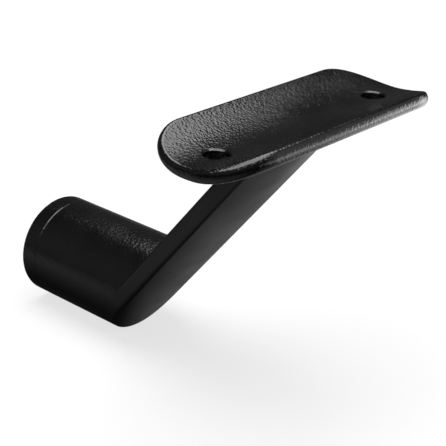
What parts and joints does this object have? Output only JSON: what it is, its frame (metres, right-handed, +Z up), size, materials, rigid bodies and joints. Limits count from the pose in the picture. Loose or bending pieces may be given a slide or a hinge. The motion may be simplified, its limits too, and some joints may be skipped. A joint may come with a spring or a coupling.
{
  "type": "handrail bracket",
  "caption": "Black powder-coated wall bracket for a handrail: round post on a concealed wall disc, sloping half-round arm and a trough-shaped saddle with screw holes.",
  "frame": {"origin": "centre of the wall screw hole in the wall face, which is also the centre of the post", "axes": "+X along the rail, +Y into the wall, +Z up"},
  "size_m": [0.068, 0.088, 0.0677],
  "materials": {
    "powder_coat": "satin black powder coat with a fine orange-peel texture",
    "black_steel": "black oxide"
  },
  "bodies": {
    "root": {"wall_disc": "powder_coat", "post": "powder_coat", "arm": "powder_coat", "saddle": "powder_coat", "grub_screw": "black_steel"}
  },
  "joints": []
}
